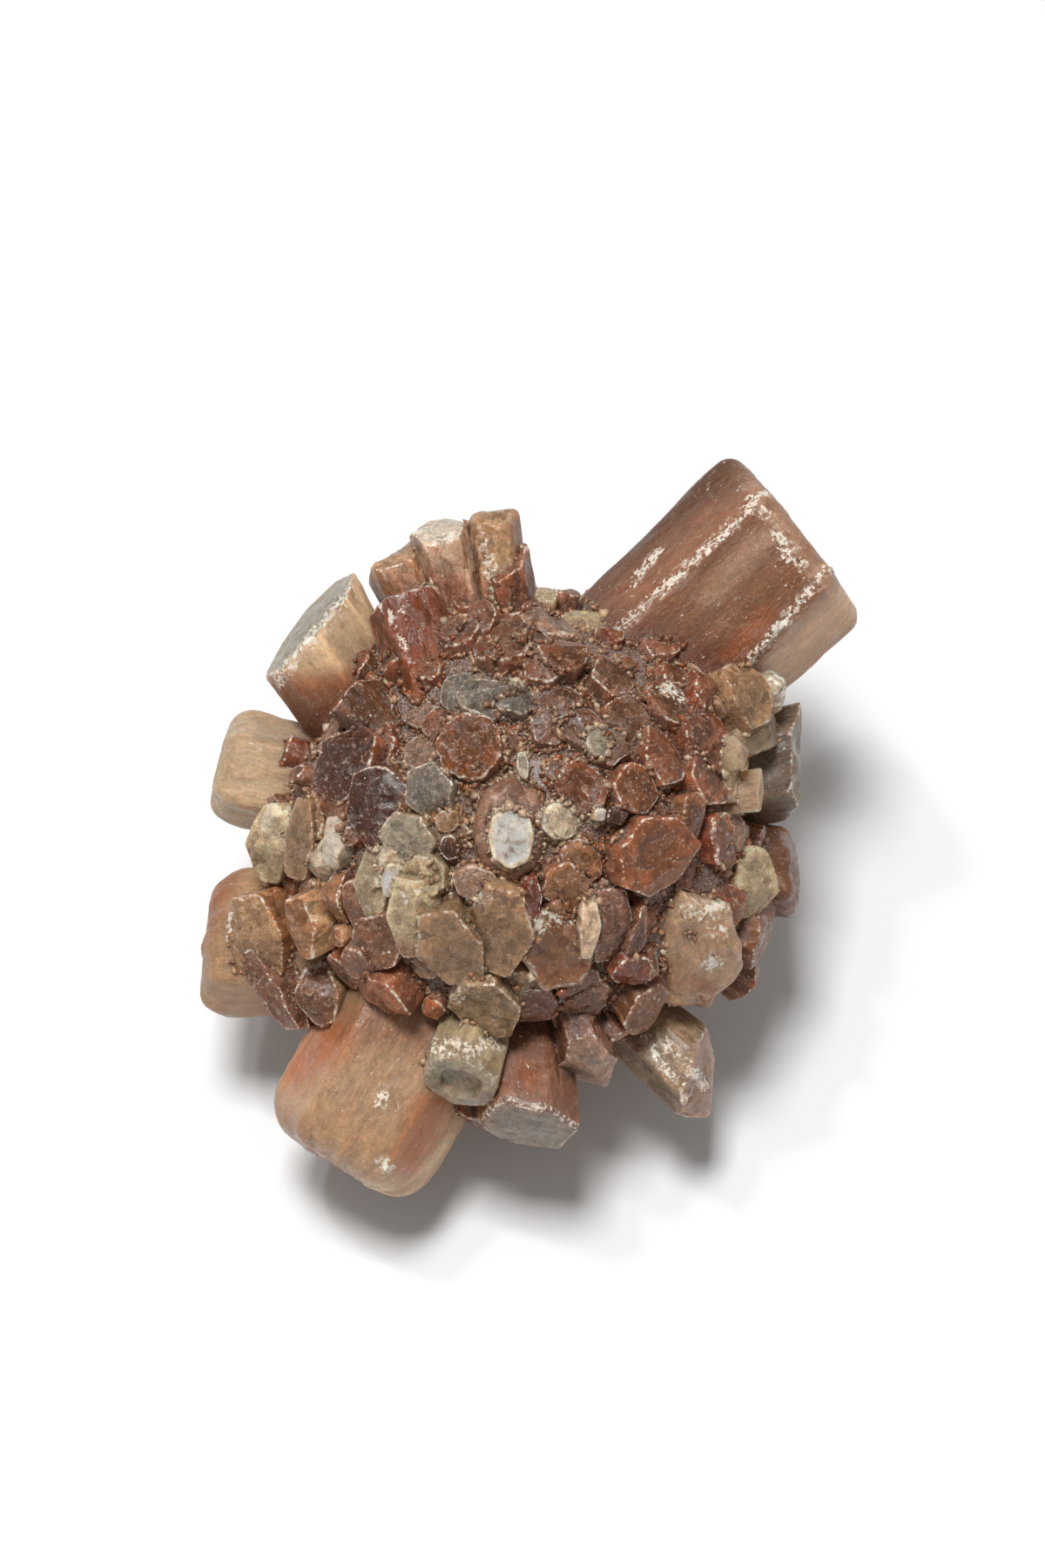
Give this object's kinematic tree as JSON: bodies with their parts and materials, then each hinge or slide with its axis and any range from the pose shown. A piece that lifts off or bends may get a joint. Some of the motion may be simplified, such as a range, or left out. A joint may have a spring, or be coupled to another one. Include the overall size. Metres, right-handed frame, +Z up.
{
  "type": "aragonite sputnik cluster",
  "caption": "Natural mineral specimen: blunt six-sided crystals radiating from one heart into a spiny ball that rests on the flat ends of its underside crystals.",
  "frame": {"origin": "middle of the footprint, on the plane that the cluster rests on", "axes": "+Z up; the showy face of the cluster looks along -Y and 60 degrees upwards; +X is to the right as that face is seen"},
  "size_m": [0.0418, 0.0423, 0.0316],
  "materials": {
    "aragonite": "translucent honey, peach and red-brown crystal with a vitreous lustre, rust stains, frosted ends and pale worn edges"
  },
  "bodies": {
    "root": {"aragonite_cluster": "aragonite"}
  },
  "joints": []
}
